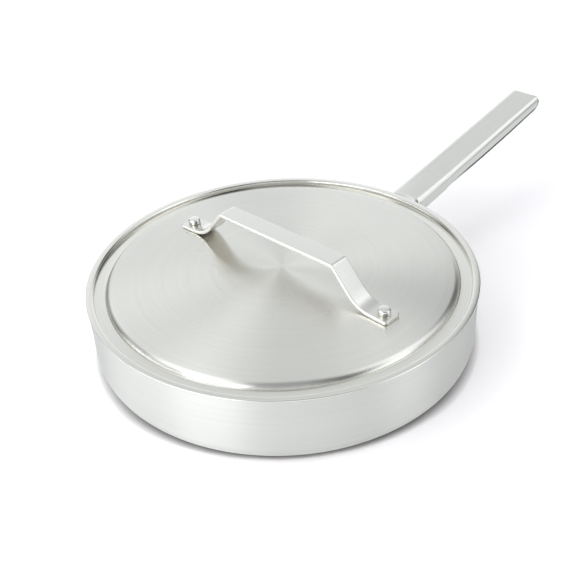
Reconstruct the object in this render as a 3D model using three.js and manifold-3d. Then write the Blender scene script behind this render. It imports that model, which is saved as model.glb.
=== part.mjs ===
// A lidded frying pan: clad steel body, stamped lid with a strap grip, channel handle and rivets.
// Millimetres, +Z up. The origin is the centre of the base, on the surface that the pan stands on.
// The long handle points along +X.

import * as THREE from 'three';
import { mergeVertices } from 'three/addons/utils/BufferGeometryUtils.js';
import Module from 'manifold-3d';

const wasm = await Module();
wasm.setup();

// Pan body
const PAN_RADIUS = 142; // outside of the straight wall
const PAN_HEIGHT = 53.4; // standing surface to rim
const BASE_FILLET = 13; // outside radius between base and wall
const OUTER_PLY = 0.5; // magnetic steel skin
const CORE_PLY = 1.6; // aluminium core
const INNER_PLY = 0.4; // cooking surface
const BOND_LINE = 0.05; // clearance between neighbouring plies

// Lid pressing
const LID_SHEET = 1.2; // sheet thickness
const LID_OVERHANG = 1; // flange beyond the outside of the wall
const LID_SEAT = 0.1; // flange above the rim
const LID_FIT = 1; // plug wall inside the pan's inner wall
const PLUG_SLOPE = 0.6; // run of the step between gutter and flange
const GUTTER_DEPTH = 3.4; // gutter floor below the flange
const GUTTER_WIDTH = 6.9; // flat floor of the gutter
const RISER_SLOPE = 1; // run of the riser between gutter and disc
const DISC_LIFT = 0.3; // edge of the disc above the flange
const DOME_RISE = 3.5; // middle of the disc above its edge
const SHOULDER_BEND = 3.5; // bend radii on the upper side of the sheet
const GUTTER_BEND = 1.2;
const FLANGE_BEND = 1.6;
const LID_TURN = 1.35; // degrees, as the lid lies on the pan, which it can turn on

// Strap grip of the lid
const STRAP_WIDTH = 16;
const STRAP_SHEET = 3;
const STRAP_REACH = 102.2; // middle of the lid to the end of a foot
const STRAP_FOOT = 25.4; // end of a foot to the corner where its leg rises
const STRAP_RUN = 47; // end of a foot to the bend of the grip
const GRIP_HEIGHT = 31; // top of the grip above the flange
const FOOT_BEND = 24; // radii on the upper side of the strap
const GRIP_BEND = 4;
const FOOT_CORNER = 2.6; // corners of a foot seen from above
const STRAP_SEAT = 0.1; // foot above the lid

// Rivets of the lid
const LID_RIVET_INSET = 8; // end of a foot to its rivet
const LID_RIVET_SHANK = 2.5; // radius
const LID_RIVET_HEAD = 4.5; // radius
const LID_RIVET_HEAD_HEIGHT = 4.2;
const LID_RIVET_TAIL = 4; // radius
const LID_RIVET_TAIL_HEIGHT = 1.2;

// Long handle
const HANDLE_REACH = 318.8; // pan axis to the tip
const HANDLE_RISE = 10.7; // degrees, slope of the top face
const HANDLE_DROP = 0.1; // top face below the rim, where its line meets the wall
const HANDLE_WIDTH = 28.4;
const HANDLE_DEPTH = 11; // top face to the lower edge of the sides
const HANDLE_SHEET = 2.5;
const HANDLE_EDGE = 4.4; // outside radius between the top face and a side
const TIP_CORNER = 7.2; // lower corner of a side at the tip
const TIP_EDGE = 0.8; // upper corner of a side at the tip
const ROOT_BEND = 5.5; // outside radius where the top face turns down the wall
const ROOT_WEB = 7; // fillet where a side runs into the saddle
const SADDLE_BOTTOM = 19; // lower end of the saddle above the standing surface
const SADDLE_CORNER = 8; // lower corners of the saddle
const SADDLE_SEAT = 0.2; // saddle off the wall

// Rivets of the handle
const RIVET_SHANK = 3; // radius
const RIVET_HEAD = 5.5; // radius, inside the pan
const RIVET_HEAD_HEIGHT = 2.2;
const RIVET_TAIL = 4.6; // radius, on the saddle
const RIVET_TAIL_HEIGHT = 1.8;
const RIVET_SPREAD = 12.6; // between the two upper rivets
const RIVET_UPPER = 36; // heights above the standing surface
const RIVET_LOWER = 25.5;

// Shape of every rivet
const HEAD_CROWN = 0.4; // middle of a head above its edge
const HEAD_ROUND = 1.2; // edge radii
const TAIL_ROUND = 0.9;

// Clearances and fineness
const RIVET_FIT = 0.15; // hole around a shank, on the radius
const RIVET_SEAT = 0.15; // head or tail off its sheet
const ROUND_STEPS = 60; // around the pan's axis
const SHANK_STEPS = 16; // around a rivet
const CHORD_ERROR = 0.12; // greatest distance of a flat from its bend
const MERGE = 1e-4; // corners closer than this are one

// Finishes
const STEEL = { color: 0xd2d4d0, roughness: 0.34, metalness: 1 };
const BRUSHED_STEEL = { color: 0xd6d8d4, roughness: 0.3, metalness: 1 };
const ALUMINIUM = { color: 0xc4c6c8, roughness: 0.5, metalness: 1 };
const RIVET_STEEL = { color: 0xdadcd8, roughness: 0.24, metalness: 1 };

const radians = THREE.MathUtils.degToRad;

// Tangent points, centre and side of the round at one corner of a line
function cornerRound(before, at, after) {
  const into = new THREE.Vector2(at[0] - before[0], at[1] - before[1]).normalize();
  const out = new THREE.Vector2(after[0] - at[0], after[1] - at[1]).normalize();
  const turn = Math.atan2(into.cross(out), into.dot(out));
  const radius = at[2] ?? 0;
  const reach = radius * Math.tan(Math.abs(turn) / 2);
  const side = Math.sign(turn);
  const start = new THREE.Vector2(at[0], at[1]).addScaledVector(into, -reach);
  const centre = new THREE.Vector2(start.x - side * radius * into.y, start.y + side * radius * into.x);
  const startAngle = Math.atan2(start.y - centre.y, start.x - centre.x);
  return { start, centre, radius, startAngle, turn };
}

// Flats that keep a round within the chord error
function flatsOf(radius, turn) {
  return Math.max(2, Math.ceil(Math.abs(turn) / (2 * Math.acos(1 - Math.min(1, CHORD_ERROR / radius)))));
}

// Points of a line through corners [x, y, radius], each rounded to its radius
function roundedLine(corners) {
  const last = corners.length - 1;
  const points = [new THREE.Vector2(...corners[0])];
  for (let i = 1; i < last; i++) {
    const { start, centre, radius, startAngle, turn } = cornerRound(corners[i - 1], corners[i], corners[i + 1]);
    if (radius > 0) {
      const endAngle = startAngle + turn;
      const arc = new THREE.ArcCurve(centre.x, centre.y, radius, startAngle, endAngle, turn < 0);
      points.push(...arc.getPoints(flatsOf(radius, turn)));
    } else {
      points.push(start);
    }
  }
  points.push(new THREE.Vector2(...corners[last]));
  return points.filter((point, i) => i === 0 || point.distanceTo(points[i - 1]) > MERGE);
}

// Closed outline through corners, each rounded, started in the middle of its last side
function roundedShape(corners) {
  const first = corners[0];
  const last = corners[corners.length - 1];
  const middle = [(first[0] + last[0]) / 2, (first[1] + last[1]) / 2];
  return new THREE.Shape(roundedLine([middle, ...corners, middle]));
}

// Corners of the other side of a bent sheet, to the right of its line
function otherSide(corners, thickness) {
  return corners.map((at, i) => {
    const before = corners[i - 1] ?? [2 * at[0] - corners[1][0], 2 * at[1] - corners[1][1]];
    const after = corners[i + 1] ?? [2 * at[0] - before[0], 2 * at[1] - before[1]];
    const into = new THREE.Vector2(at[0] - before[0], at[1] - before[1]).normalize();
    const { turn, radius } = cornerRound(before, at, after);
    const mitre = thickness * Math.tan(turn / 2);
    const x = at[0] + thickness * into.y + mitre * into.x;
    const y = at[1] - thickness * into.x + mitre * into.y;
    return [x, y, radius > 0 ? radius + thickness * Math.sign(turn) : 0];
  });
}

// Solid from a geometry: positions alone, shared corners merged, faces pointing out
function solid(geometry) {
  const bare = new THREE.BufferGeometry();
  const source = geometry.index ? geometry.toNonIndexed() : geometry;
  bare.setAttribute('position', source.getAttribute('position').clone());
  const merged = mergeVertices(bare, MERGE);
  const corners = merged.index.array;
  const faces = [];
  for (let i = 0; i < corners.length; i += 3) {
    const [a, b, c] = [corners[i], corners[i + 1], corners[i + 2]];
    if (a !== b && b !== c && c !== a) {
      faces.push(a, b, c);
    }
  }
  const vertProperties = new Float32Array(merged.getAttribute('position').array);
  const make = (triVerts) => new wasm.Manifold(new wasm.Mesh({ numProp: 3, vertProperties, triVerts }));
  const body = make(new Uint32Array(faces));
  return body.volume() > 0 ? body : make(new Uint32Array(faces.reverse()));
}

// Solid turned around the Z axis from a half section in (radius, height)
function turned(section, steps = ROUND_STEPS) {
  return solid(new THREE.LatheGeometry(section, steps).rotateX(Math.PI / 2));
}

// Solid between two heights with an outline in (x, y)
function standing(shape, bottom, top) {
  const block = new THREE.ExtrudeGeometry(shape, { depth: top - bottom, bevelEnabled: false });
  return solid(block.translate(0, 0, bottom));
}

// Solid of a width along Y, centred, with an outline in (x, z)
function sideways(shape, width, centre = 0) {
  const block = new THREE.ExtrudeGeometry(shape, { depth: width, bevelEnabled: false });
  return solid(block.rotateX(Math.PI / 2).translate(0, centre + width / 2, 0));
}

// Geometry of a length along X, with an outline in (y, z)
function lengthways(shape, length) {
  const block = new THREE.ExtrudeGeometry(shape, { depth: length, bevelEnabled: false });
  return block.rotateX(Math.PI / 2).rotateZ(Math.PI / 2);
}

// Upright shaft that cuts a rivet hole
function drill(radius, bottom, top) {
  const shaft = new THREE.CylinderGeometry(radius, radius, top - bottom, SHANK_STEPS);
  return shaft.rotateX(Math.PI / 2).translate(0, 0, (top + bottom) / 2);
}

// Upright cylinder around the pan's axis, with the same flats as the pan
function cylinder(radius, bottom, top) {
  return turned(roundedLine([[0, bottom], [radius, bottom], [radius, top], [0, top]]));
}

// What lies outside a cylinder around the pan's axis, between two heights, as a thick ring
function outsideOf(radius, bottom, top) {
  const far = radius + HANDLE_WIDTH;
  return turned(roundedLine([[radius, bottom], [far, bottom], [far, top], [radius, top], [radius, bottom]]));
}

// Named mesh of one piece
function piece(name, body, finish) {
  const { vertProperties, triVerts } = body.getMesh();
  const geometry = new THREE.BufferGeometry();
  geometry.setAttribute('position', new THREE.BufferAttribute(vertProperties, 3));
  geometry.setIndex(new THREE.BufferAttribute(triVerts, 1));
  geometry.computeVertexNormals();
  const mesh = new THREE.Mesh(geometry, new THREE.MeshStandardMaterial(finish));
  mesh.name = name;
  return mesh;
}

// Solid rivet along Z: domed head above the upper seat, flattened tail below the lower seat
function rivetBody({ shank, head, headHeight, tail, tailHeight, upper, lower }) {
  const top = upper + headHeight;
  const bottom = lower - tailHeight;
  return turned(roundedLine([
    [0, bottom],
    [tail, bottom, TAIL_ROUND],
    [tail, lower],
    [shank, lower],
    [shank, upper],
    [head, upper],
    [head, top - HEAD_CROWN, HEAD_ROUND],
    [0, top],
  ]), SHANK_STEPS);
}

// Places of the handle's rivets on the wall
const upperTurn = Math.asin(RIVET_SPREAD / 2 / PAN_RADIUS);
const HANDLE_RIVETS = [
  { name: 'handle_rivet_upper_left', turn: upperTurn, height: RIVET_UPPER },
  { name: 'handle_rivet_upper_right', turn: -upperTurn, height: RIVET_UPPER },
  { name: 'handle_rivet_lower', turn: 0, height: RIVET_LOWER },
];

// Wall and saddle, from the cooking surface outwards
const PAN_SHEET = OUTER_PLY + CORE_PLY + INNER_PLY + 2 * BOND_LINE;
const INNER_RADIUS = PAN_RADIUS - PAN_SHEET;
const SADDLE_INSIDE = PAN_RADIUS + SADDLE_SEAT;
const SADDLE_OUTSIDE = SADDLE_INSIDE + HANDLE_SHEET;

// Holes for the handle's rivets, through wall and saddle
function rivetHoles() {
  const from = INNER_RADIUS - RIVET_HEAD;
  const to = SADDLE_OUTSIDE + RIVET_HEAD;
  return HANDLE_RIVETS.map(({ turn, height }) => {
    const shaft = drill(RIVET_SHANK + RIVET_FIT, from, to).rotateY(Math.PI / 2);
    return solid(shaft.translate(0, 0, height).rotateZ(turn));
  });
}

function withoutHoles(body, holes) {
  return holes.reduce((rest, hole) => rest.subtract(hole), body);
}

// One ply of the pan: flat base, rounded corner and straight wall, at a depth below the outside
function ply(depth, thickness) {
  const inside = depth + thickness;
  return turned(roundedLine([
    [0, depth],
    [PAN_RADIUS - depth, depth, BASE_FILLET - depth],
    [PAN_RADIUS - depth, PAN_HEIGHT],
    [PAN_RADIUS - inside, PAN_HEIGHT],
    [PAN_RADIUS - inside, inside, BASE_FILLET - inside],
    [0, inside],
  ]));
}

function panBody() {
  const group = new THREE.Group();
  const holes = rivetHoles();
  const coreDepth = OUTER_PLY + BOND_LINE;
  const innerDepth = coreDepth + CORE_PLY + BOND_LINE;
  group.add(piece('pan_outer_shell', withoutHoles(ply(0, OUTER_PLY), holes), STEEL));
  group.add(piece('pan_aluminium_core', withoutHoles(ply(coreDepth, CORE_PLY), holes), ALUMINIUM));
  group.add(piece('pan_inner_liner', withoutHoles(ply(innerDepth, INNER_PLY), holes), STEEL));
  return group;
}

// Long handle: a sheet channel, open below, whose top face turns down the wall into a riveted saddle
function panHandle() {
  const slope = radians(HANDLE_RISE);
  const wallTop = PAN_HEIGHT - HANDLE_DROP;
  const topAt = (x) => wallTop + (x - PAN_RADIUS) * Math.tan(slope);
  const tip = [HANDLE_REACH, topAt(HANDLE_REACH)];
  const underTip = (depth) => [tip[0] + depth * Math.sin(slope), tip[1] - depth * Math.cos(slope)];
  const under = (x, depth) => [x, topAt(x) - depth / Math.cos(slope)];
  const half = HANDLE_WIDTH / 2;
  const bow = SADDLE_INSIDE - Math.sqrt(SADDLE_INSIDE ** 2 - half ** 2);
  const back = SADDLE_INSIDE - bow;

  // Top face and saddle as one bent sheet, whose saddle is then bowed to the wall on both sides
  const webEnd = under(SADDLE_OUTSIDE, HANDLE_SHEET);
  const strip = sideways(roundedShape([
    [back, SADDLE_BOTTOM],
    [SADDLE_OUTSIDE, SADDLE_BOTTOM],
    [...webEnd, ROOT_BEND - HANDLE_SHEET],
    underTip(HANDLE_SHEET),
    [...tip, TIP_EDGE],
    [back, topAt(back), ROOT_BEND],
  ]), HANDLE_WIDTH);
  const bowed = strip.subtract(outsideOf(SADDLE_OUTSIDE, SADDLE_BOTTOM, webEnd[1] - ROOT_BEND));

  // Sides, whose lower edges run along the handle and into the saddle
  const root = SADDLE_OUTSIDE - bow;
  const inSaddle = root - HANDLE_SHEET / 2;
  const sideEnd = under(root, HANDLE_DEPTH);
  const side = roundedShape([
    [inSaddle, sideEnd[1] - 2 * ROOT_WEB],
    [root, sideEnd[1] - 2 * ROOT_WEB],
    [...sideEnd, ROOT_WEB],
    [...underTip(HANDLE_DEPTH), TIP_CORNER],
    [...tip, TIP_EDGE],
    [inSaddle, topAt(inSaddle), ROOT_BEND],
  ]);
  const sideCentre = half - HANDLE_SHEET / 2;
  const left = sideways(side, HANDLE_SHEET, sideCentre);
  const right = sideways(side, HANDLE_SHEET, -sideCentre);

  // Rounded long edges, as an arch section along the slope, and rounded lower corners of the saddle
  const length = HANDLE_REACH - PAN_RADIUS;
  const deep = PAN_HEIGHT + length;
  const arch = roundedShape([[-half, -deep], [half, -deep], [half, 0, HANDLE_EDGE], [-half, 0, HANDLE_EDGE]]);
  const edges = lengthways(arch, 2 * length).rotateY(-slope);
  edges.translate(PAN_RADIUS - length / 2 * Math.cos(slope), 0, wallTop - length / 2 * Math.sin(slope));
  const corners = roundedShape([
    [-half, SADDLE_BOTTOM, SADDLE_CORNER],
    [half, SADDLE_BOTTOM, SADDLE_CORNER],
    [half, 2 * tip[1]],
    [-half, 2 * tip[1]],
  ]);
  const plan = lengthways(corners, 2 * HANDLE_REACH);
  const wall = cylinder(SADDLE_INSIDE, 0, PAN_HEIGHT);
  const sheet = bowed.add(left).add(right);
  const body = sheet.intersect(solid(edges)).intersect(solid(plan)).subtract(wall);
  return piece('pan_handle', withoutHoles(body, rivetHoles()), BRUSHED_STEEL);
}

// Rivets through wall and saddle, each square to the wall, with its head inside the pan
function handleRivets() {
  const group = new THREE.Group();
  const flatInside = INNER_RADIUS * Math.cos(Math.PI / ROUND_STEPS);
  const body = rivetBody({
    shank: RIVET_SHANK,
    head: RIVET_HEAD,
    headHeight: RIVET_HEAD_HEIGHT,
    tail: RIVET_TAIL,
    tailHeight: RIVET_TAIL_HEIGHT,
    upper: RIVET_SEAT - Math.sqrt(flatInside ** 2 - RIVET_HEAD ** 2),
    lower: -SADDLE_OUTSIDE - RIVET_SEAT,
  });
  for (const { name, turn, height } of HANDLE_RIVETS) {
    const place = new THREE.Group();
    const rivet = piece(name, body, RIVET_STEEL);
    rivet.rotation.y = -Math.PI / 2;
    rivet.position.z = height;
    place.rotation.z = turn;
    place.add(rivet);
    group.add(place);
  }
  return group;
}

// Lid levels and radii, from the rim that the flange rests on and the wall that the plug fits in
const FLANGE_TOP = PAN_HEIGHT + LID_SEAT + LID_SHEET;
const GUTTER_OUTSIDE = INNER_RADIUS - LID_FIT - LID_SHEET;
const GUTTER_INSIDE = GUTTER_OUTSIDE - GUTTER_WIDTH;
const DISC_RADIUS = GUTTER_INSIDE - RISER_SLOPE;
const DISC_TOP = FLANGE_TOP + DISC_LIFT + DOME_RISE;

// The dome is one arc from the axis to the shoulder: its tangents meet at half its reach
const DOME_TANGENT = DISC_RADIUS / 2 - SHOULDER_BEND;
const DOME_FALL = Math.atan2(DOME_RISE, DISC_RADIUS - DOME_TANGENT);
const DOME_RADIUS = DOME_TANGENT / Math.tan(DOME_FALL / 2);

// Lid pressing: a domed disc, a gutter that plugs the pan and a flat flange on its rim
function lidCover(holes) {
  const upper = [
    [0, DISC_TOP],
    [DOME_TANGENT, DISC_TOP, DOME_RADIUS],
    [DISC_RADIUS, FLANGE_TOP + DISC_LIFT, SHOULDER_BEND],
    [GUTTER_INSIDE, FLANGE_TOP - GUTTER_DEPTH, GUTTER_BEND],
    [GUTTER_OUTSIDE, FLANGE_TOP - GUTTER_DEPTH, GUTTER_BEND],
    [GUTTER_OUTSIDE + PLUG_SLOPE, FLANGE_TOP, FLANGE_BEND],
    [PAN_RADIUS + LID_OVERHANG, FLANGE_TOP],
  ];
  const section = [...upper, ...otherSide(upper, LID_SHEET).reverse()];
  return piece('lid_cover', withoutHoles(turned(roundedLine(section)), holes), BRUSHED_STEEL);
}

// A rivet's place on the dome, from the end of its foot: the slope there, and the height of the lid
const LID_RIVET_REACH = STRAP_REACH - LID_RIVET_INSET;
const RIVET_TILT = Math.asin(LID_RIVET_REACH / DOME_RADIUS);
const RIVET_LEVEL = DISC_TOP - DOME_RADIUS * (1 - Math.cos(RIVET_TILT));

// Strap grip: a flat bar with feet that follow the dome, swept legs and a level grip
function lidStrap(holes) {
  const stack = STRAP_SEAT + STRAP_SHEET;
  const seat = [
    LID_RIVET_REACH + stack * Math.sin(RIVET_TILT),
    RIVET_LEVEL + stack * Math.cos(RIVET_TILT),
  ];
  const footTop = (y) => seat[1] - (y - seat[0]) * Math.tan(RIVET_TILT);
  const legStart = STRAP_REACH - STRAP_FOOT;
  const half = [
    [STRAP_REACH - STRAP_RUN, FLANGE_TOP + GRIP_HEIGHT, GRIP_BEND],
    [legStart, footTop(legStart), FOOT_BEND],
    [STRAP_REACH, footTop(STRAP_REACH)],
  ];
  const upper = [...half.map(([y, z, bend]) => [-y, z, bend]).reverse(), ...half];
  const profile = roundedShape([...upper, ...otherSide(upper, STRAP_SHEET).reverse()]);
  const reach = STRAP_REACH;
  const width = STRAP_WIDTH / 2;
  const plan = roundedShape([
    [-reach, -width, FOOT_CORNER],
    [reach, -width, FOOT_CORNER],
    [reach, width, FOOT_CORNER],
    [-reach, width, FOOT_CORNER],
  ]);
  const bar = sideways(profile, STRAP_WIDTH).intersect(standing(plan, 0, FLANGE_TOP + 2 * GRIP_HEIGHT));
  const alongY = bar.rotate([0, 0, 90]);
  return piece('lid_strap', withoutHoles(alongY, holes), BRUSHED_STEEL);
}

// Rivets through strap and lid, square to the dome, and the holes that they go through
function lidRivets() {
  const upper = STRAP_SEAT + STRAP_SHEET + RIVET_SEAT;
  const lower = -LID_SHEET - RIVET_SEAT;
  const body = rivetBody({
    shank: LID_RIVET_SHANK,
    head: LID_RIVET_HEAD,
    headHeight: LID_RIVET_HEAD_HEIGHT,
    tail: LID_RIVET_TAIL,
    tailHeight: LID_RIVET_TAIL_HEIGHT,
    upper,
    lower,
  });
  const places = [['lid_rivet_left', -1], ['lid_rivet_right', 1]];
  const pieces = places.map(([name, end]) => {
    const rivet = piece(name, body, RIVET_STEEL);
    rivet.rotation.x = -end * RIVET_TILT;
    rivet.position.set(0, end * LID_RIVET_REACH, RIVET_LEVEL);
    return rivet;
  });
  const holes = places.map(([, end]) => {
    const shaft = drill(LID_RIVET_SHANK + RIVET_FIT, lower - upper, upper - lower);
    shaft.rotateX(-end * RIVET_TILT).translate(0, end * LID_RIVET_REACH, RIVET_LEVEL);
    return solid(shaft);
  });
  return { pieces, holes };
}

// Pan, with its handle riveted on
const pan = new THREE.Group();
pan.add(panBody(), panHandle(), handleRivets());

// Lid, which lifts off with its strap and can lie at any turn
const lid = new THREE.Group();
const rivets = lidRivets();
lid.add(lidCover(rivets.holes), lidStrap(rivets.holes), ...rivets.pieces);
lid.rotation.z = radians(LID_TURN);

const model = new THREE.Group();
model.add(pan, lid);

export default model;
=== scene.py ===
"""Looks of a lidded frying pan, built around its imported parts.

A clad steel body, a stamped channel handle on rivets and a pressed lid with a riveted strap grip.
Lengths are in metres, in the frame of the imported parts: +Z up, the long handle along +X.
"""

import logging
import math
from dataclasses import dataclass, field
from enum import Enum
from typing import Callable, NamedTuple, Sequence

import bmesh
import bpy
from mathutils import Euler, Matrix, Quaternion, Vector


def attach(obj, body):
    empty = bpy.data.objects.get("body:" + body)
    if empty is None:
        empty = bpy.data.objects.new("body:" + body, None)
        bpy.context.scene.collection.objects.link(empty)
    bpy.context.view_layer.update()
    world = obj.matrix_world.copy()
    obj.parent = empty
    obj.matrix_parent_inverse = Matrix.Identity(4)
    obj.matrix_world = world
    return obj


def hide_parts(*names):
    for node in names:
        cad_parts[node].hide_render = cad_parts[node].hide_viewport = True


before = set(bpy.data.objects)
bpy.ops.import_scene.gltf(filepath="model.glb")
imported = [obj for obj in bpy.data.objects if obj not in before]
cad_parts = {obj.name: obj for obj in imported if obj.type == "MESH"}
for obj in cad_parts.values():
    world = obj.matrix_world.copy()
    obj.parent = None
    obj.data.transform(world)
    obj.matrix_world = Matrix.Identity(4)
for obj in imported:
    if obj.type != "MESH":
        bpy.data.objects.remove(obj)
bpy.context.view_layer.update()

LOG = logging.getLogger("frying_pan")

X_AXIS = Vector((1, 0, 0))
Y_AXIS = Vector((0, 1, 0))
Z_AXIS = Vector((0, 0, 1))
ROUND_STEPS = 192
RIVET_STEPS = 48
ARC_STEP = math.radians(7.5)
ARC_LENGTH = 0.008
ARC_FLATS = 3
MERGE = 1e-6
SMOOTH_ANGLE = math.radians(32)
EDGE_ANGLE = math.radians(50)
EDGE_FLATS = 3
PAN_RADIUS = 0.142
RIM_HEIGHT = 0.0534
LID_TURN = math.radians(1.35)
LEVEL = (1, 1, 0)
NOISE_RANGE = (0.3, 0.7)
QUARTER_TURN = 0.25
NUMBER_OPERATIONS = ("DOT_PRODUCT", "LENGTH")

Colour = Sequence[float]
Piece = bpy.types.Object
Socket = bpy.types.NodeSocket
Span = tuple[float, float]


class Body(Enum):
    """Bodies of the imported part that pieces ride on."""

    PAN = "pan"
    LID = "lid"


class Grain(Enum):
    """Direction that a surface was brushed in."""

    ROUND_THE_AXIS = "round the axis"
    ALONG_X = "along the handle"
    ALONG_Y = "along the strap"


class Corner(NamedTuple):
    """A corner of a section line: its reach, its height and the radius that rounds it."""

    reach: float
    height: float
    bend: float = 0.0


class Zone(NamedTuple):
    """Outer part of a piece: where it begins, where it is complete and its share of the roughness."""

    start: float
    full: float
    share: float


class Wires:
    """Adds nodes to a node tree and wires them up.

    Attributes:
        tree: the node tree.
    """

    def __init__(self, tree: bpy.types.NodeTree) -> None:
        """Takes the tree that is wired."""
        self.tree = tree

    def node(self, kind: str, inputs: dict[str | int, object], **settings: object) -> bpy.types.Node:
        """Adds a node.

        Args:
            kind: type of the node, without the prefix of shader nodes.
            inputs: sockets to link and values to set, by name or number of the input.
            settings: settings of the node.

        Returns:
            The new node.
        """
        node = self.tree.nodes.new("ShaderNode" + kind)
        for setting, value in settings.items():
            setattr(node, setting, value)
        self.feed(node, inputs)
        return node

    def feed(self, node: bpy.types.Node, inputs: dict[str | int, object]) -> None:
        """Links sockets to the inputs of a node and sets the other values.

        Args:
            node: node that is fed.
            inputs: sockets and values, by name or number of the input.
        """
        for name, value in inputs.items():
            if isinstance(value, Socket):
                self.tree.links.new(value, node.inputs[name])
            else:
                node.inputs[name].default_value = value

    def place(self) -> Socket:
        """Coordinates of the piece itself."""
        return self.node("TexCoord", {}).outputs["Object"]

    def split(self, vector: Socket) -> bpy.types.NodeOutputs:
        """Parts of a vector, by the names X, Y and Z."""
        return self.node("SeparateXYZ", {"Vector": vector}).outputs

    def math(self, operation: str, *values: Socket | float) -> Socket:
        """Joins numbers by a named operation."""
        return self.node("Math", dict(enumerate(values)), operation=operation).outputs["Value"]

    def vector(self, operation: str, *values: Socket | Sequence[float]) -> Socket:
        """Joins vectors by a named operation."""
        node = self.node("VectorMath", dict(enumerate(values)), operation=operation)
        return node.outputs["Value" if operation in NUMBER_OPERATIONS else "Vector"]

    def radius(self) -> Socket:
        """Distance from the Z axis."""
        return self.vector("LENGTH", self.vector("MULTIPLY", self.place(), LEVEL))

    def ramp(
        self, value: Socket, start: float, end: float, low: float = 0.0, high: float = 1.0
    ) -> Socket:
        """Goes from one level to another while a value passes between two limits.

        Args:
            value: the value.
            start: limit at which the change begins.
            end: limit at which it is complete.
            low: level before the change.
            high: level after it.

        Returns:
            The socket with the level.
        """
        limits = {"Value": value, "From Min": start, "From Max": end, "To Min": low, "To Max": high}
        return self.node("MapRange", limits).outputs["Result"]

    def blend(self, share: Socket, colour: Socket | Colour, other: Colour) -> Socket:
        """Blends another colour into a colour by a share."""
        inputs = {"Factor": share, "A": colour, "B": (*other, 1)}
        return self.node("Mix", inputs, data_type="RGBA").outputs["Result"]


@dataclass(frozen=True)
class Steel:
    """A brushed metal finish.

    Attributes:
        name: name of the material.
        slot: finish slot of the record; not used.
        colour: linear colour of the metal.
        roughness: middle roughness of the surface.
        spread: how much wider reflections are across the brushing than along it.
        grain: direction of the brushing.
        pitch: brush lines per metre, across the brushing.
        reach: changes per metre along the brushing.
        shade: share by which the lines vary the colour.
        depth: height of the brush lines in metres.
        bump: share of that height that shows.
        clouds: soft patches per metre.
        patchiness: share by which the patches vary the roughness.
    """

    name: str
    slot: str
    colour: Colour
    roughness: float
    spread: float
    grain: Grain
    pitch: float = 700.0
    reach: float = 12.0
    shade: float = 0.05
    depth: float = 2e-6
    bump: float = 0.5
    clouds: float = 14.0
    patchiness: float = 0.06

    def material(self) -> bpy.types.Material:
        """Makes the material's nodes.

        Returns:
            The new material.
        """
        material = bpy.data.materials.new(self.name)
        material.use_nodes = True
        wires = Wires(material.node_tree)
        if self.grain is Grain.ALONG_X:
            tangent = wires.node("Tangent", {}, direction_type="UV_MAP")
        else:
            axis = "X" if self.grain is Grain.ALONG_Y else "Z"
            tangent = wires.node("Tangent", {}, direction_type="RADIAL", axis=axis)

        brushing = {"Vector": self._across(wires), "Scale": 1.0, "Detail": 3.0}
        lines = wires.node("TexNoise", brushing).outputs["Fac"]
        patches = {"Vector": wires.place(), "Scale": self.clouds, "Detail": 2.0}
        clouds = wires.node("TexNoise", patches).outputs["Fac"]
        dark = [c * (1 - self.shade) for c in self.colour]
        pale = [min(1.0, c * (1 + self.shade)) for c in self.colour]
        colour = wires.blend(lines, (*dark, 1), pale)
        smoothest = self.roughness * (1 - self.patchiness)
        roughest = self.roughness * (1 + self.patchiness)
        rough = wires.ramp(clouds, *NOISE_RANGE, smoothest, roughest)
        relief = wires.node("Bump", {"Strength": self.bump, "Distance": self.depth, "Height": lines})
        look = {
            "Metallic": 1.0,
            "Anisotropic": self.spread,
            "Anisotropic Rotation": QUARTER_TURN,
            "Tangent": tangent.outputs["Tangent"],
            "Base Color": self._tinted(wires, colour),
            "Roughness": self._polished(wires, rough),
            "Normal": relief.outputs["Normal"],
        }
        wires.feed(material.node_tree.nodes["Principled BSDF"], look)
        return material

    def _tinted(self, wires: Wires, colour: Socket) -> Socket:
        """Colour of the finish, with any painted highlight or shade; the plain one paints none and is
        even.
        """
        return colour

    def _polished(self, wires: Wires, roughness: Socket) -> Socket:
        """Roughness of the finish; the plain one is even."""
        return roughness

    def _changed(self, wires: Wires, roughness: Socket, distance: Socket, zone: Zone) -> Socket:
        """Changes the roughness where a distance from the middle lies in a zone."""
        share = wires.ramp(distance, zone.start, zone.full, 1.0, zone.share)
        return wires.math("MULTIPLY", roughness, share)

    def _across(self, wires: Wires) -> Socket:
        """Coordinates that run fast across the brushing and slowly along it.

        Args:
            wires: wiring of the material.

        Returns:
            The socket with the coordinates.
        """
        place = wires.place()
        if self.grain is not Grain.ROUND_THE_AXIS:
            scale = Vector((self.reach, self.pitch, self.pitch))
            scale = scale if self.grain is Grain.ALONG_X else scale.yxz
            return wires.vector("MULTIPLY", place, scale)
        ring = wires.math("ADD", wires.radius(), wires.split(place)["Z"])
        flat = wires.split(wires.vector("MULTIPLY", place, [self.reach * share for share in LEVEL]))
        line = wires.math("MULTIPLY", ring, self.pitch)
        return wires.node("CombineXYZ", {"X": flat["X"], "Y": flat["Y"], "Z": line}).outputs["Vector"]


@dataclass(frozen=True)
class PressedSteel(Steel):
    """Brushed sheet with a smoother ring near its rim, where a tool pressed it.

    Attributes:
        ring: radius of the ring and share of the roughness that is left there.
    """

    ring: Zone = Zone(0.1282, 0.1294, 0.5)

    def _polished(self, wires: Wires, roughness: Socket) -> Socket:
        """Lowers the roughness in the ring."""
        return self._changed(wires, roughness, wires.radius(), self.ring)


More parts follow.
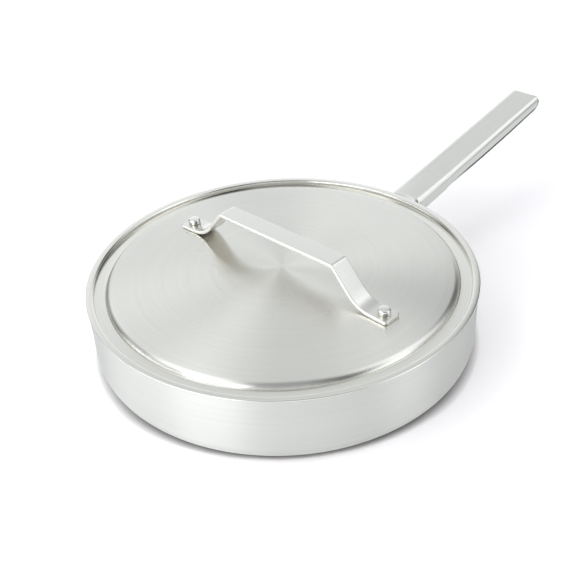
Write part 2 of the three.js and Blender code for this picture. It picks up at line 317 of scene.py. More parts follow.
@dataclass(frozen=True)
class BarSteel(Steel):
    """Brushed bar along Y whose long edges are rough from grinding and scatter the light, with a
    highlight painted on them.

    Attributes:
        ground_and_highlight: distance of the rough, highlighted edges from the middle line and share
            by which they are rougher.
        painted_highlight: linear colour of the highlight painted on the edges.
    """

    # Rough edges, which also carry the painted highlight.
    ground_and_highlight: Zone = Zone(0.0073, 0.0077, 1.7)
    # Colour of the painted highlight on the long edges.
    painted_highlight: Colour = (0.98, 0.96, 0.91)

    def _polished(self, wires: Wires, roughness: Socket) -> Socket:
        """Raises the roughness of the long edges."""
        return self._changed(wires, roughness, self._from_middle(wires), self.ground_and_highlight)

    def _tinted(self, wires: Wires, colour: Socket) -> Socket:
        """Paints a highlight on the long edges."""
        # Painted highlight: the long edges are blended towards a pale colour that stands in for their
        # glint.
        edge = wires.ramp(self._from_middle(wires), self.ground_and_highlight.start, self.ground_and_highlight.full)
        return wires.blend(edge, colour, self.painted_highlight)

    def _from_middle(self, wires: Wires) -> Socket:
        """Distance from the bar's middle line."""
        across = (math.cos(LID_TURN), math.sin(LID_TURN), 0)
        return wires.math("ABSOLUTE", wires.vector("DOT_PRODUCT", wires.place(), across))


@dataclass(frozen=True)
class ChannelSteel(Steel):
    """Brushed channel with painted shade: a dark line along the free edges, from its tip towards its
    root, that stands in for shade and dark reflections there.

    The sheet's own coordinates run along the blank and across it, each from 0 to 1.

    Attributes:
        edge: shares of the blank's half width between which the painted dark line along the lower
            edge begins.
        side: shares of the half width between which the sides begin.
        tip: shares of the length between which the painted dark line at the end of a side begins.
        root: reaches between which the painted dark line sets in.
        painted_shade_level: share of the colour that the painted shade leaves there.
    """

    edge: Span = (0.945, 0.953)
    side: Span = (0.76, 0.81)
    tip: Span = (0.988, 0.992)
    root: Span = (0.19, 0.215)
    # Share of the steel's colour that the painted shade along the free edges leaves.
    painted_shade_level: float = 0.05

    def _tinted(self, wires: Wires, colour: Socket) -> Socket:
        """Paints shade on the free edges: a dark line that stands in for shade and dark reflections.

        Args:
            wires: wiring of the material.
            colour: colour of the brushed sheet.

        Returns:
            The colour everywhere.
        """
        blank = wires.split(wires.node("UVMap", {}).outputs["UV"])
        across = wires.math("ABSOLUTE", wires.math("MULTIPLY_ADD", blank["Y"], 2.0, -1.0))
        lower = wires.ramp(across, *self.edge)
        side = wires.ramp(across, *self.side)
        end = wires.ramp(blank["X"], *self.tip)
        free = wires.math("MAXIMUM", lower, wires.math("MULTIPLY", end, side))
        fade = wires.ramp(wires.split(wires.place())["X"], *self.root)
        # Painted shade: the free edges take a dark copy of the steel's colour, standing in for shade
        # and dark reflections.
        dark = [c * self.painted_shade_level for c in self.colour]
        return wires.blend(wires.math("MULTIPLY", free, fade), colour, dark)


ROUND = Grain.ROUND_THE_AXIS
PAN_STEEL = Steel("satin_pan_steel", "pan_steel", (0.715, 0.7, 0.66), 0.38, 0.95, ROUND)
LINER_STEEL = Steel("satin_liner_steel", "liner_steel", (0.715, 0.7, 0.66), 0.36, 0.7, ROUND)
CORE_METAL = Steel("rolled_aluminium", "core_aluminium", (0.76, 0.77, 0.78), 0.5, 0.2, ROUND)
HANDLE_STEEL = ChannelSteel(
    "satin_handle_steel", "handle_steel", (0.715, 0.7, 0.65), 0.3, 0.6, Grain.ALONG_X
)
LID_STEEL = PressedSteel("satin_lid_steel", "lid_steel", (0.725, 0.705, 0.65), 0.28, 0.95, ROUND)
STRAP_STEEL = BarSteel(
    "satin_strap_steel", "strap_steel", (0.725, 0.705, 0.655), 0.28, 0.2, Grain.ALONG_Y
)
RIVET_STEEL = Steel("fine_rivet_steel", "rivet_steel", (0.745, 0.725, 0.68), 0.2, 0.1, ROUND)


class Blank:
    """One new piece while it is shaped by hand in edit mode.

    Attributes:
        obj: mesh object of the piece.
        cells: cells of the flat grid that it was cut from, if it was.
    """

    def __init__(self, name: str, cells: Sequence[int] = ()) -> None:
        """Starts from a flat grid, or from one point, which a small plane is merged to.

        Args:
            name: name of the finished piece.
            cells: cells of the grid along the blank and across it.
        """
        self.cells = cells
        bpy.ops.object.select_all(action="DESELECT")
        if cells:
            bpy.ops.mesh.primitive_grid_add(x_subdivisions=cells[0], y_subdivisions=cells[1], size=1)
        else:
            bpy.ops.mesh.primitive_plane_add(size=MERGE)
        self.obj = bpy.context.object
        self.obj.name = name
        self.obj.data.name = name
        bpy.ops.object.mode_set(mode="EDIT")
        if not cells:
            bpy.ops.mesh.merge(type="CENTER")

    def _index(self, place: Vector) -> tuple[int, int]:
        """Row and column of a point on the flat grid."""
        return round((place.x + 0.5) * self.cells[0]), round((place.y + 0.5) * self.cells[1])

    def _select(self, wanted: Callable[[Vector], bool]) -> None:
        """Selects points and nothing else.

        Args:
            wanted: tells by its place whether a point is selected.
        """
        bpy.ops.mesh.select_mode(type="VERT")
        bpy.ops.mesh.select_all(action="DESELECT")
        mesh = bmesh.from_edit_mesh(self.obj.data)
        for point in mesh.verts:
            point.select = wanted(point.co)
        mesh.select_flush_mode()
        bmesh.update_edit_mesh(self.obj.data)

    def cut(self, waste: Callable[[int, int], bool]) -> None:
        """Cuts away the faces of a flat grid that touch a waste point, told by row and column."""
        self._select(lambda place: waste(*self._index(place)))
        bpy.ops.mesh.delete(type="VERT")

    def shape(self, place: Callable[[int, int], Vector]) -> None:
        """Moves every point of a flat grid to its place on the finished piece.

        Args:
            place: gives the place by row and column.
        """
        mesh = bmesh.from_edit_mesh(self.obj.data)
        for point in mesh.verts:
            point.co = place(*self._index(point.co))
        bmesh.update_edit_mesh(self.obj.data)

    def draw(self, corners: Sequence[Corner], along: Vector = X_AXIS) -> None:
        """Draws a section line: the point is extruded along straights and spun round bends.

        Args:
            corners: corners of the line, its two ends included.
            along: direction of a corner's reach.
        """
        places = [along * corner.reach + Z_AXIS * corner.height for corner in corners]
        axis = along.cross(Z_AXIS)
        here = places[0]
        bpy.ops.transform.translate(value=here)
        for before, at, after, corner in zip(places, places[1:], places[2:], corners[1:]):
            into = (at - before).normalized()
            out = (after - at).normalized()
            turn = math.atan2(into.cross(out).dot(axis), into.dot(out))
            start = at - into * corner.bend * math.tan(abs(turn) / 2)
            if (start - here).length > MERGE:
                bpy.ops.mesh.extrude_vertices_move(TRANSFORM_OT_translate={"value": start - here})
            here = start
            if corner.bend:
                centre = start + axis.cross(into) * math.copysign(corner.bend, turn)
                by_angle = math.ceil(abs(turn) / ARC_STEP)
                by_length = math.ceil(abs(turn) * corner.bend / ARC_LENGTH)
                steps = max(ARC_FLATS, by_angle, by_length)
                bpy.ops.mesh.spin(steps=steps, angle=-turn, center=centre, axis=axis)
                here = centre + Quaternion(axis, turn) @ (start - centre)
        bpy.ops.mesh.extrude_vertices_move(TRANSFORM_OT_translate={"value": places[-1] - here})

    def turn(self, steps: int) -> None:
        """Spins the section line all the way round the Z axis and closes the seam.

        Args:
            steps: flats of the full round.
        """
        bpy.ops.mesh.select_all(action="SELECT")
        bpy.ops.mesh.spin(steps=steps, angle=2 * math.pi, center=(0, 0, 0), axis=(0, 0, 1))
        self.join()

    def widen(self, across: Vector) -> None:
        """Extrudes the section line into a strip, centred on the line.

        Args:
            across: direction and width of the strip.
        """
        bpy.ops.mesh.select_all(action="SELECT")
        bpy.ops.transform.translate(value=across / -2)
        bpy.ops.mesh.extrude_region_move(TRANSFORM_OT_translate={"value": across})
        self.join()

    def join(self) -> None:
        """Merges doubled points and points the faces outwards."""
        bpy.ops.mesh.select_all(action="SELECT")
        bpy.ops.mesh.remove_doubles(threshold=MERGE)
        bpy.ops.mesh.normals_make_consistent(inside=False)

    def round_points(self, wanted: Callable[[Vector], bool], reach: float, steps: int) -> None:
        """Rounds corners of a sheet.

        Args:
            wanted: tells by its place whether a point is such a corner.
            reach: distance from the corner at which the round starts.
            steps: flats of the round.
        """
        self._select(wanted)
        bpy.ops.mesh.bevel(offset=reach, offset_type="OFFSET", segments=steps, affect="VERTICES")

    def thicken(self, thickness: float, rounding: float) -> None:
        """Gives an open sheet its thickness, below its upper side, and rounds its sharp edges.

        Args:
            thickness: thickness of the sheet.
            rounding: width of the rounding.
        """
        mesh = bmesh.from_edit_mesh(self.obj.data)
        largest = max(mesh.faces, key=lambda face: face.calc_area())
        if largest.normal.z < 0:
            bpy.ops.mesh.select_all(action="SELECT")
            bpy.ops.mesh.flip_normals()
        self._modify("SOLIDIFY", thickness=thickness, offset=-1.0, use_even_offset=True)
        sharp = {"limit_method": "ANGLE", "angle_limit": EDGE_ANGLE, "miter_outer": "MITER_ARC"}
        self._modify("BEVEL", width=rounding, segments=EDGE_FLATS, **sharp)

    def _modify(self, kind: str, **settings: object) -> None:
        """Applies a modifier, which ends edit mode.

        Args:
            kind: type of the modifier.
            settings: its settings.
        """
        bpy.ops.object.mode_set(mode="OBJECT")
        modifier = self.obj.modifiers.new(kind, kind)
        for setting, value in settings.items():
            setattr(modifier, setting, value)
        bpy.ops.object.modifier_apply(modifier=modifier.name)

    def done(self, place: Matrix | None = None, even: bool = False) -> Piece:
        """Leaves edit mode, puts the piece in its place and smooths its shading.

        Args:
            place: place of the piece, if it was shaped elsewhere.
            even: keeps wide flat faces even up to their rounded edges.

        Returns:
            The finished piece.
        """
        bpy.ops.object.mode_set(mode="OBJECT")
        if place is not None:
            self.obj.matrix_world = place
        bpy.ops.object.transform_apply(location=True, rotation=True, scale=True)
        bpy.ops.object.shade_smooth_by_angle(angle=SMOOTH_ANGLE)
        if even:
            self._modify("WEIGHTED_NORMAL", keep_sharp=True)
        return self.obj


def clamped(share: float) -> float:
    """Limits a share to the range from 0 to 1."""
    return min(1.0, max(0.0, share))


def set_back(past: float, radius: float) -> float:
    """How far a rounded corner draws an edge back.

    Args:
        past: distance beyond the start of the round.
        radius: radius of the corner.

    Returns:
        The distance from the square corner's edge.
    """
    if past <= 0:
        return 0.0
    return radius - math.sqrt(max(0.0, radius**2 - past**2))


def settle(pieces: dict[str, Piece], finish: Steel, body: Body) -> None:
    """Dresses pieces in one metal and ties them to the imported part.

    Args:
        pieces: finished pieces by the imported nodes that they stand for.
        finish: their metal.
        body: body that they ride on.
    """
    material = finish.material()
    for node, piece in pieces.items():
        piece.data.materials.clear()
        piece.data.materials.append(material)
        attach(piece, body.value)
        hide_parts(node)
        LOG.info("%s stands for %s: %d faces", piece.name, node, len(piece.data.polygons))


@dataclass
class PanBody:
    """Three bonded plies, each with a flat base, a rounded corner and a straight wall."""

    radius: float = PAN_RADIUS
    height: float = RIM_HEIGHT
    fillet: float = 0.013
    outer_ply: float = 0.0005
    core_ply: float = 0.0016
    inner_ply: float = 0.0004
    bond: float = 0.00005
    rim_round: float = 0.00012
    pieces: dict[str, Piece] = field(default_factory=dict)

    def build(self) -> None:
        """Turns the plies."""
        core_depth = self.outer_ply + self.bond
        inner_depth = core_depth + self.core_ply + self.bond
        self.pieces["pan_outer_shell"] = self._ply("pan_outer_skin", 0.0, self.outer_ply)
        self.pieces["pan_aluminium_core"] = self._ply("pan_core_sheet", core_depth, self.core_ply)
        self.pieces["pan_inner_liner"] = self._ply("pan_cooking_skin", inner_depth, self.inner_ply)

    def dress(self) -> None:
        """Gives each ply its metal."""
        for (node, ply), finish in zip(self.pieces.items(), (PAN_STEEL, CORE_METAL, LINER_STEEL)):
            settle({node: ply}, finish, Body.PAN)

    def _ply(self, name: str, depth: float, thickness: float) -> Piece:
        """One ply, at a depth below the outside of the pan.

        Args:
            name: name of the piece.
            depth: distance from the outside of the pan.
            thickness: thickness of the ply.

        Returns:
            The ply.
        """
        inside = depth + thickness
        section = [
            Corner(0, depth),
            Corner(self.radius - depth, depth, self.fillet - depth),
            Corner(self.radius - depth, self.height, self.rim_round),
            Corner(self.radius - inside, self.height, self.rim_round),
            Corner(self.radius - inside, inside, self.fillet - inside),
            Corner(0, inside),
        ]
        ply = Blank(name)
        ply.draw(section)
        ply.turn(ROUND_STEPS)
        return ply.done()


@dataclass
class Rivet:
    """A solid rivet: a domed head above its upper seat, a flattened tail below its lower seat."""

    shank: float
    head: float
    head_height: float
    tail: float
    tail_height: float
    upper: float
    lower: float
    crown: float = 0.0004
    head_round: float = 0.0012
    tail_round: float = 0.0009
    edge: float = 0.0003

    def build(self, places: dict[str, Matrix]) -> dict[str, Piece]:
        """Turns the rivet on the Z axis and copies it to its places.

        Args:
            places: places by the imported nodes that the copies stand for.

        Returns:
            The copies, each with a mesh of its own, by node.
        """
        top = self.upper + self.head_height
        bottom = self.lower - self.tail_height
        section = [
            Corner(0, bottom),
            Corner(self.tail, bottom, self.tail_round),
            Corner(self.tail, self.lower, self.edge),
            Corner(self.shank, self.lower),
            Corner(self.shank, self.upper),
            Corner(self.head, self.upper, self.edge),
            Corner(self.head, top - self.crown, self.head_round),
            Corner(0, top),
        ]
        blank = Blank("rivet_pattern")
        blank.draw(section)
        blank.turn(RIVET_STEPS)
        pattern = blank.done()
        rivets = {}
        for node, place in places.items():
            bpy.ops.object.select_all(action="DESELECT")
            pattern.select_set(True)
            bpy.context.view_layer.objects.active = pattern
            bpy.ops.object.duplicate(linked=False)
            rivet = bpy.context.object
            rivet.name = node.replace("rivet", "stud")
            rivet.data.name = rivet.name
            rivet.matrix_world = place
            bpy.ops.object.transform_apply(location=True, rotation=True, scale=True)
            rivets[node] = rivet
        bpy.data.objects.remove(pattern)
        return rivets


class Column(NamedTuple):
    """A column of the handle's blank.

    Attributes:
        across: place across the blank while it is flat.
        folded: place across the handle once it is folded.
        drop: depth below the top face once it is folded.
        side: share of the way down the flat side, 0 above it.
    """

    across: float
    folded: float
    drop: float = 0.0
    side: float = 0.0


@dataclass
class Handle:
    """Long handle: one sheet folded into a channel.

    It is crowned at its root and turned down the wall as a saddle.
    """

    wall: float = 0.1422
    pan_radius: float = PAN_RADIUS
    tip_reach: float = 0.3186
    rise: float = math.radians(10.7)
    top_at_wall: float = 0.05318
    width: float = 0.0284
    depth: float = 0.011
    sheet: float = 0.0025
    edge: float = 0.0044
    tip_corner: float = 0.0072
    tip_zone: float = 0.01
    root_bend: float = 0.0055
    root_web: float = 0.007
    root_fullness: float = 0.6
    crown_reach: float = 0.055
    crown_rise: float = 0.0015
    waist_start: float = 0.18
    waist_step: float = 0.004
    waist_reach: float = 0.05
    waist_rise: float = 0.0012
    taper_start: float = 0.265
    taper_rise: float = 0.0013
    saddle_bottom: float = 0.019
    saddle_corner: float = 0.008
    saddle_zone: float = 0.014
    flatten: float = 0.009
    free_edge: float = 0.0006
    flat_cells: int = 10
    edge_cells: int = 8
    side_cells: int = 4
    pieces: dict[str, Piece] = field(default_factory=dict)

    def __post_init__(self) -> None:
        """Works out the fold line: saddle, root bend and top face, and the fillet of the sides."""
        turn = math.pi / 2 - self.rise
        self.slope = Vector((math.cos(self.rise), 0, math.sin(self.rise)))
        corner = Vector((self.wall, 0, self._top(self.wall)))
        reach = self.root_bend * math.tan(turn / 2)
        self.bend_centre = corner + Vector((self.root_bend, 0, -reach))
        self.bend_start = corner.z - reach - self.saddle_bottom
        self.bend_end = self.bend_start + self.root_bend * turn
        top_start = corner + self.slope * reach
        self.length = self.bend_end + (self.tip_reach - top_start.x) / self.slope.x
        self.crown_end = self.bend_end + (self.wall + self.crown_reach - top_start.x) / self.slope.x
        web_x = self.wall + self.sheet + self.root_web
        below = (self.depth + self.root_web) / self.slope.x
        self.web_centre = Vector((web_x, 0, self._top(web_x) - below))
        self.web_end = self.web_centre.z - self.saddle_bottom
        web_start = web_x - (self.depth + self.root_web) * self.slope.z
        self.web_start = self.bend_end + (web_start - top_start.x) / self.slope.x

    def build(self) -> None:
        """Cuts the blank from a grid, folds it and gives it its thickness."""
        rows = self._rows()
        columns = self._columns()
        blank = Blank("channel_handle", (len(rows) - 1, len(columns) - 1))
        blank.cut(lambda row, column: rows[row] < self.web_end and columns[column].side > 0)
        blank.shape(lambda row, column: self._fold(rows[row], columns[column]))
        blank.join()
        blank.thicken(self.sheet, self.free_edge)
        self.pieces["pan_handle"] = blank.done()

    def dress(self) -> None:
        """Gives the handle its brushed steel."""
        settle(self.pieces, HANDLE_STEEL, Body.PAN)

    def _top(self, x: float) -> float:
        """Height of the top face's line at a distance from the pan's axis."""
        return self.top_at_wall + (x - self.pan_radius) * math.tan(self.rise)

    def _rows(self) -> list[float]:
        """Spaces the rows of the blank along the fold line.

        Returns:
            The places of the rows, from the foot of the saddle to the tip.
        """
        stretches = [
            (self.web_end, 8),
            (self.bend_start, 8),
            (self.bend_end, 12),
            (self.crown_end, 30),
            (self.length - self.tip_zone, 12),
            (self.length, 5),
        ]
        rows = [0.0]
        for end, cells in stretches:
            start = rows[-1]
            rows += [start + (end - start) * (i + 1) / cells for i in range(cells)]
        return rows

    def _columns(self) -> list[Column]:
        """Spaces the columns of the blank.

        Returns:
            The columns, from the right side over the top face to the left side.
        """
        reach = self.width / 2
        flat = reach - self.edge
        half = []
        for i in range(self.flat_cells):
            across = flat * (i + 1) / self.flat_cells
            half.append(Column(across, across))
        for i in range(self.edge_cells):
            share = (i + 1) / self.edge_cells
            angle = math.pi / 2 * share
            folded = flat + self.edge * math.sin(angle)
            half.append(Column(flat + self.edge * share, folded, self.edge * (1 - math.cos(angle))))
        for i in range(self.side_cells):
            half.append(Column(reach, reach, self.edge, (i + 1) / self.side_cells))
        mirrored = [Column(-c.across, -c.folded, c.drop, c.side) for c in reversed(half)]
        return [*mirrored, Column(0.0, 0.0), *half]

    def _line(self, s: float) -> tuple[Vector, Vector]:
        """Place and outward direction of the fold line.

        Args:
            s: distance along the line.

        Returns:
            The place, and the direction that the outer side of the sheet faces there.
        """
        if s <= self.bend_start:
            return Vector((self.wall, 0, self.saddle_bottom + s)), -X_AXIS
        angle = (min(s, self.bend_end) - self.bend_start) / self.root_bend
        outward = Vector((-math.cos(angle), 0, math.sin(angle)))
        beyond = max(0.0, s - self.bend_end)
        return self.bend_centre + outward * self.root_bend + self.slope * beyond, outward

    def _fold(self, s: float, column: Column) -> Vector:
        """Place of a point of the blank on the folded handle.

        Args:
            s: place of its row along the fold line.
            column: its column.

        Returns:
            The place.
        """
        s = self._trimmed(s, column)
        place, outward = self._line(s)
        fold = clamped(1 - (self.bend_start - s) / self.flatten)
        y = column.across + (column.folded - column.across) * fold
        bent = clamped((self.bend_end - s) / (self.bend_end - self.bend_start))
        drop = column.drop * fold * (1 - self.root_fullness * bent)
        point = place + outward * (self._crown(s, y) - drop)
        if column.side:
            point = point.lerp(self._lower_edge(s), column.side)
        bow = self.wall - math.sqrt(self.wall**2 - y**2)
        return Vector((point.x - bow * bent, y, point.z))

    def _trimmed(self, s: float, column: Column) -> float:
        """Draws the rows back at the rounded corners of the tip and of the saddle.

        Args:
            s: place of a row along the fold line.
            column: column of the point.

        Returns:
            The place of the point along the fold line.
        """
        from_tip = self.length - s
        if from_tip < self.tip_zone:
            depth = self._depth(self.tip_reach)
            down = column.drop + column.side * (depth - self.edge)
            back = set_back(down - (depth - self.tip_corner), self.tip_corner)
            return self.length - back - from_tip * (1 - back / self.tip_zone)
        if s < self.saddle_zone:
            past = abs(column.across) - (self.width / 2 - self.saddle_corner)
            back = set_back(past, self.saddle_corner)
            return back + s * (1 - back / self.saddle_zone)
        return s

    def _crown(self, s: float, y: float) -> float:
        """Height by which the middle of the top face swells towards the root.

        Args:
            s: place along the fold line.
            y: place across the handle.

        Returns:
            The height.
        """
        near = clamped((self.crown_end - s) / (self.crown_end - self.bend_end))
        bend_share = clamped((s - self.bend_start) / (self.bend_end - self.bend_start))
        return self.crown_rise * near**2 * bend_share**2 * (1 - (2 * y / self.width) ** 2)

    def _depth(self, x: float) -> float:
        """Depth of the sides, which rise a little behind the root and again towards the tip.

        Args:
            x: distance from the pan's axis.

        Returns:
            The depth.
        """
        past = x - self.waist_start
        waist = clamped(past / self.waist_step) * max(0.0, 1 - past / self.waist_reach)
        taper = max(0.0, (x - self.taper_start) / (self.tip_reach - self.taper_start))
        return self.depth - self.waist_rise * waist - self.taper_rise * taper

    def _lower_edge(self, s: float) -> Vector:
        """Free edge of a side: along the channel, then round the fillet to the saddle.

        Args:
            s: place along the fold line.

        Returns:
            The place of the edge.
        """
        if s >= self.web_start:
            place, outward = self._line(s)
            return place - outward * self._depth(place.x)
        share = min(1.0, (self.web_start - s) / (self.web_start - self.web_end))
        angle = self.rise + share * (math.pi / 2 - self.rise)
        return self.web_centre + Vector((-math.sin(angle), 0, math.cos(angle))) * self.root_web


@dataclass
class HandleRivets:
    """Three rivets through wall and saddle, each square to the wall, with its head inside the pan."""

    pan_radius: float = PAN_RADIUS
    head_seat: float = 0.13895
    tail_seat: float = 0.14485
    spread: float = 0.0126
    upper: float = 0.036
    lower: float = 0.0255
    pieces: dict[str, Piece] = field(default_factory=dict)

    def build(self) -> None:
        """Turns one rivet and copies it to the three places."""
        shape = Rivet(
            shank=0.003, head=0.0055, head_height=0.0022, tail=0.0046, tail_height=0.0018,
            upper=-self.head_seat, lower=-self.tail_seat,
        )
        turn = math.asin(self.spread / 2 / self.pan_radius)
        spots = {
            "handle_rivet_upper_left": (turn, self.upper),
            "handle_rivet_upper_right": (-turn, self.upper),
            "handle_rivet_lower": (0.0, self.lower),
        }
        lie_down = Matrix.Rotation(-math.pi / 2, 4, "Y")
        places = {
            node: Matrix.Rotation(angle, 4, "Z") @ Matrix.Translation((0, 0, height)) @ lie_down
            for node, (angle, height) in spots.items()
        }
        self.pieces.update(shape.build(places))

    def dress(self) -> None:
        """Gives the rivets their fine steel."""
        settle(self.pieces, RIVET_STEEL, Body.PAN)


@dataclass
class Lid:
    """Lid pressing: a domed disc, a gutter that plugs the pan and a flat flange on its rim."""

    rim: float = RIM_HEIGHT
    seat: float = 0.0001
    sheet: float = 0.0012
    wall_inside: float = 0.1394
    fit: float = 0.001
    plug_slope: float = 0.0006
    gutter_depth: float = 0.0034
    gutter_width: float = 0.0079
    riser_slope: float = 0.0016
    disc_lift: float = 0.0003
    dome_rise: float = 0.0035
    shoulder: float = 0.0055
    gutter_bend: float = 0.0003
    flange_bend: float = 0.0016
    flange_reach: float = 0.14294
    edge_round: float = 0.00055
    pieces: dict[str, Piece] = field(default_factory=dict)

    def __post_init__(self) -> None:
        """Works out levels and radii from the rim and the wall."""
        self.flange_top = self.rim + self.seat + self.sheet
        self.gutter_outside = self.wall_inside - self.fit - self.sheet
        self.gutter_inside = self.gutter_outside - self.gutter_width
        self.disc_radius = self.gutter_inside - self.riser_slope
        self.top = self.flange_top + self.disc_lift + self.dome_rise
        self.dome_tangent = self.disc_radius / 2 - self.shoulder
        fall = math.atan2(self.dome_rise, self.disc_radius - self.dome_tangent)
        self.dome_radius = self.dome_tangent / math.tan(fall / 2)

    def build(self) -> None:
        """Turns the pressing from the line of its upper side."""
        gutter = self.flange_top - self.gutter_depth
        upper = [
            Corner(0, self.top),
            Corner(self.dome_tangent, self.top, self.dome_radius),
            Corner(self.disc_radius, self.flange_top + self.disc_lift, self.shoulder),
            Corner(self.gutter_inside, gutter, self.gutter_bend),
            Corner(self.gutter_outside, gutter, self.gutter_bend),
            Corner(self.gutter_outside + self.plug_slope, self.flange_top, self.flange_bend),
            Corner(self.flange_reach, self.flange_top),
        ]
        blank = Blank("lid_pressing")
        blank.draw(upper)
        blank.turn(ROUND_STEPS)
        blank.thicken(self.sheet, self.edge_round)
        self.pieces["lid_cover"] = blank.done()

    def dress(self) -> None:
        """Gives the lid its circular brushing."""
        settle(self.pieces, LID_STEEL, Body.LID)


@dataclass
class Strap:
    """Strap grip of the lid: a flat bar with riveted feet, swept legs and a level grip."""

    lid: Lid
    width: float = 0.016
    sheet: float = 0.003
    reach: float = 0.1022
    foot: float = 0.0254
    run: float = 0.047
    height: float = 0.031
    foot_bend: float = 0.024
    grip_bend: float = 0.004
    foot_corner: float = 0.0026
    foot_flats: int = 4
    seat: float = 0.0001
    edge_round: float = 0.001
    rivet_inset: float = 0.008
    rivet_seat: float = 0.00015
    pieces: dict[str, Piece] = field(default_factory=dict)

    def __post_init__(self) -> None:
        """Works out where a rivet stands on the dome, and its tilt."""
        self.rivet_reach = self.reach - self.rivet_inset
        self.tilt = math.asin(self.rivet_reach / self.lid.dome_radius)
        self.rivet_level = self.lid.top - self.lid.dome_radius * (1 - math.cos(self.tilt))

    def build(self) -> None:
        """Bends the bar and turns its two rivets."""
        stack = self.seat + self.sheet
        seat_reach = self.rivet_reach + stack * math.sin(self.tilt)
        seat_top = self.rivet_level + stack * math.cos(self.tilt)
        leg_start = self.reach - self.foot
        fall = math.tan(self.tilt)
        half = [
            Corner(self.reach - self.run, self.lid.flange_top + self.height, self.grip_bend),
            Corner(leg_start, seat_top - (leg_start - seat_reach) * fall, self.foot_bend),
            Corner(self.reach, seat_top - (self.reach - seat_reach) * fall),
        ]
        upper = [Corner(-reach, height, bend) for reach, height, bend in reversed(half)] + half
        bar = Blank("strap_grip")
        bar.draw(upper, along=Y_AXIS)
        bar.widen(X_AXIS * self.width)
        ends = self.reach - MERGE
        bar.round_points(lambda place: abs(place.y) > ends, self.foot_corner, self.foot_flats)
        bar.thicken(self.sheet, self.edge_round)
        turned = Matrix.Rotation(LID_TURN, 4, "Z")
        self.pieces["lid_strap"] = bar.done(turned, even=True)

        shape = Rivet(
            shank=0.0025, head=0.0045, head_height=0.0042, tail=0.004, tail_height=0.0012,
            upper=stack + self.rivet_seat, lower=-self.lid.sheet - self.rivet_seat,
        )
        places = {}
        for node, end in {"lid_rivet_left": -1, "lid_rivet_right": 1}.items():
            spot = Matrix.Translation((0, end * self.rivet_reach, self.rivet_level))
            places[node] = turned @ spot @ Matrix.Rotation(-end * self.tilt, 4, "X")
        self.pieces.update(shape.build(places))

    def dress(self) -> None:
        """Gives bar and rivets their steel."""
        rivets = dict(self.pieces)
        settle({"lid_strap": rivets.pop("lid_strap")}, STRAP_STEEL, Body.LID)
        settle(rivets, RIVET_STEEL, Body.LID)


class Panel(NamedTuple):
    """A soft panel of light in the room, by the directions from the pan that it covers, in degrees.

    Attributes:
        bearing: direction of its middle, from +X towards +Y.
        elevation: height of its middle above the horizon.
        width: span from side to side.
        height: span from top to bottom.
        level: brightness, where 1 is white.
    """

    bearing: float
    elevation: float
    width: float
    height: float
    level: float


class Lamp(NamedTuple):
    """A square soft lamp near the pan, by its direction and brightness, as a panel is."""

    bearing: float
    elevation: float
    level: float

    def way(self) -> Vector:
        """Direction of the lamp from the pan."""
        turn = Euler((0, -math.radians(self.elevation), math.radians(self.bearing)))
        return turn.to_matrix() @ X_AXIS


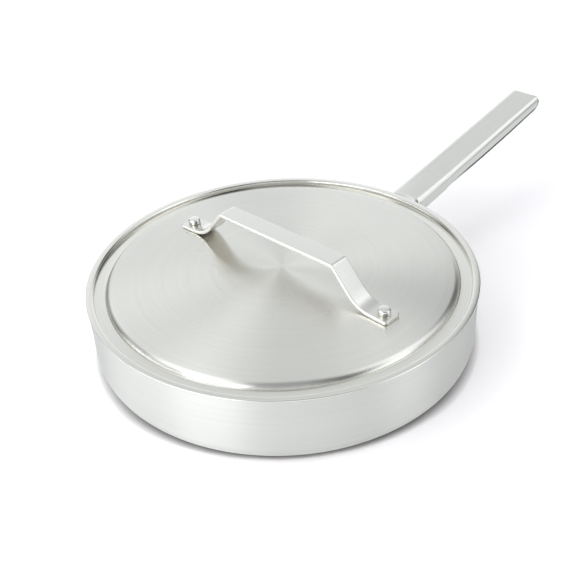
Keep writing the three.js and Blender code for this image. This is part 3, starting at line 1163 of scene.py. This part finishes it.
@dataclass
class Studio:
    """White floor, soft light and the camera.

    Attributes:
        eye: place of the camera.
        aim: point at rim height that the camera looks at.
        roll: turn of the camera about its view.
        lens: focal length in millimetres, on Blender's own sensor width.
        floor_to_eye: what is added to the floor's white where the camera sees it.
        floor_in_metal: what is added to it where the metal mirrors it.
        contact_front: reach of the dark line of painted contact shade round the base, on the camera's
            side.
        contact_sides: reach of that painted shade elsewhere.
        contact_turns: turns from the camera's side, in degrees, between which the reach changes.
        tint: colour of all light.
        panel_soft: half width of a panel's soft edge in degrees.
    """

    eye: Vector = field(default_factory=lambda: Vector((-0.38565, -0.40494, 0.42755)))
    aim: Vector = field(default_factory=lambda: Vector((-0.01391, -0.01958, 0.05501)))
    roll: float = math.radians(-3.118)
    lens: float = 57.265
    near: float = 0.01
    floor_size: float = 12.0
    floor_gap: float = 0.00005
    floor_white: float = 0.85
    floor_to_eye: Colour = (0.46, 0.4, 0.39)
    floor_in_metal: float = 0.22
    contact_front: float = 0.0035
    contact_sides: float = 0.009
    contact_turns: Span = (50.0, 10.0)
    tint: Colour = (0.955, 1.0, 1.045)
    panel_soft: float = 12.0
    panels: tuple[Panel, ...] = (
        Panel(165, 6, 90, 24, 3.5),
        Panel(238, 6, 50, 20, 2.8),
        Panel(286, 13, 32, 34, 2.1),
        Panel(345, 8, 40, 24, 0.2),
        Panel(42, 5, 70, 20, 1.6),
        Panel(320, 47, 54, 58, 1.3),
        Panel(60, 29, 76, 25, 1.15),
        Panel(60, 62, 180, 34, 0.95),
        Panel(95, 46, 44, 36, 0.4),
        Panel(215, 46, 70, 44, 0.5),
        Panel(0, 90, 400, 36, 0.3),
    )
    lamp_distance: float = 0.9
    lamp_size: float = 0.5
    lamps: tuple[Lamp, ...] = (Lamp(185, 30, 2.4), Lamp(150, 55, 1.45))

    def build(self) -> None:
        """Sets floor, light and camera."""
        bpy.context.scene.view_settings.view_transform = "Standard"
        self._floor()
        self._world()
        self._lamps()
        self._camera()

    def _camera(self) -> None:
        """Stands the camera at the viewing angle of the photograph."""
        data = bpy.data.cameras.new("view")
        data.lens = self.lens
        data.clip_start = self.near
        camera = bpy.data.objects.new("view", data)
        camera.location = self.eye
        camera.rotation_mode = "QUATERNION"
        ahead = (self.aim - self.eye).to_track_quat("-Z", "Y")
        camera.rotation_quaternion = ahead @ Quaternion(Z_AXIS, self.roll)
        bpy.context.scene.collection.objects.link(camera)
        bpy.context.scene.camera = camera

    def _floor(self) -> None:
        """Lays the floor, white to the eye and in the metal, with the pan's shadow on it and a
        painted contact shade round the base.
        """
        bpy.ops.object.select_all(action="DESELECT")
        bpy.ops.mesh.primitive_plane_add(size=self.floor_size, location=(0, 0, -self.floor_gap))
        floor = bpy.context.object
        floor.name = "floor"
        material = bpy.data.materials.new("white_floor")
        material.use_nodes = True
        nodes = material.node_tree.nodes
        nodes.remove(nodes["Principled BSDF"])
        wires = Wires(material.node_tree)
        rays = wires.node("LightPath", {}).outputs
        white = (self.floor_white,) * 3
        to_eye = wires.vector("MULTIPLY_ADD", rays["Is Camera Ray"], self.floor_to_eye, white)
        in_metal = (self.floor_in_metal,) * 3
        colour = wires.vector("MULTIPLY_ADD", rays["Is Glossy Ray"], in_metal, to_eye)
        front = Vector((self.eye.x, self.eye.y, 0)).normalized()
        toward = wires.vector("DOT_PRODUCT", wires.vector("NORMALIZE", wires.place()), front)
        sides, middle = (math.cos(math.radians(turn)) for turn in self.contact_turns)
        reach = wires.ramp(toward, sides, middle, self.contact_sides, self.contact_front)
        # Painted shade: an ambient occlusion node darkens the floor's colour close to the pan, for
        # the dark contact line round its base.
        contact_shade = wires.node("AmbientOcclusion", {"Color": colour, "Distance": reach})
        shader = wires.node("BsdfDiffuse", {"Color": contact_shade.outputs["Color"]})
        wires.feed(nodes["Material Output"], {"Surface": shader.outputs["BSDF"]})
        floor.data.materials.append(material)

    def _world(self) -> None:
        """Makes the room: soft panels of light around and above the pan, dark between them."""
        world = bpy.data.worlds.new("studio")
        bpy.context.scene.world = world
        world.use_nodes = True
        wires = Wires(world.node_tree)
        way = wires.node("TexCoord", {}).outputs["Generated"]
        compass = wires.vector("NORMALIZE", wires.vector("MULTIPLY", way, LEVEL))
        elevation = wires.math("ARCSINE", wires.split(way)["Z"])
        light: Socket | float = 0.0
        for panel in self.panels:
            bearing = math.radians(panel.bearing)
            middle = (math.cos(bearing), math.sin(bearing), 0)
            sideways = wires.math("ARCCOSINE", wires.vector("DOT_PRODUCT", compass, middle))
            above = wires.math("SUBTRACT", elevation, math.radians(panel.elevation))
            across = self._fade(wires, sideways, panel.width, 1.0)
            upwards = self._fade(wires, wires.math("ABSOLUTE", above), panel.height, panel.level)
            light = wires.math("ADD", wires.math("MULTIPLY", across, upwards), light)
        wires.feed(world.node_tree.nodes["Background"], {"Color": (*self.tint, 1), "Strength": light})

    def _fade(self, wires: Wires, away: Socket, span: float, level: float) -> Socket:
        """Fades a panel out at its edges.

        Args:
            wires: wiring of the world.
            away: angle from the panel's middle.
            span: span of the panel in degrees.
            level: brightness inside it.

        Returns:
            The socket with the brightness.
        """
        outside = math.radians(span / 2 + self.panel_soft)
        inside = math.radians(span / 2 - self.panel_soft)
        brightness = wires.ramp(away, outside, inside, 0.0, level)
        brightness.node.interpolation_type = "SMOOTHSTEP"
        return brightness

    def _lamps(self) -> None:
        """Stands the soft lamps round the pan, each turned towards it."""
        for lamp in self.lamps:
            data = bpy.data.lights.new("soft_lamp", "AREA")
            data.size = self.lamp_size
            data.color = self.tint
            data.energy = math.pi * self.lamp_size**2 * lamp.level
            holder = bpy.data.objects.new("soft_lamp", data)
            holder.location = lamp.way() * self.lamp_distance
            holder.rotation_mode = "QUATERNION"
            holder.rotation_quaternion = lamp.way().to_track_quat("Z", "Y")
            bpy.context.scene.collection.objects.link(holder)


def main() -> None:
    """Builds and dresses the pan, then sets the studio."""
    logging.basicConfig(level=logging.INFO, format="%(message)s")
    lid = Lid()
    assemblies = [PanBody(), Handle(), HandleRivets(), lid, Strap(lid)]
    for assembly in assemblies:
        assembly.build()
        assembly.dress()
    Studio().build()
    LOG.info("%d pieces built", sum(len(assembly.pieces) for assembly in assemblies))


if __name__ == "__main__":
    main()
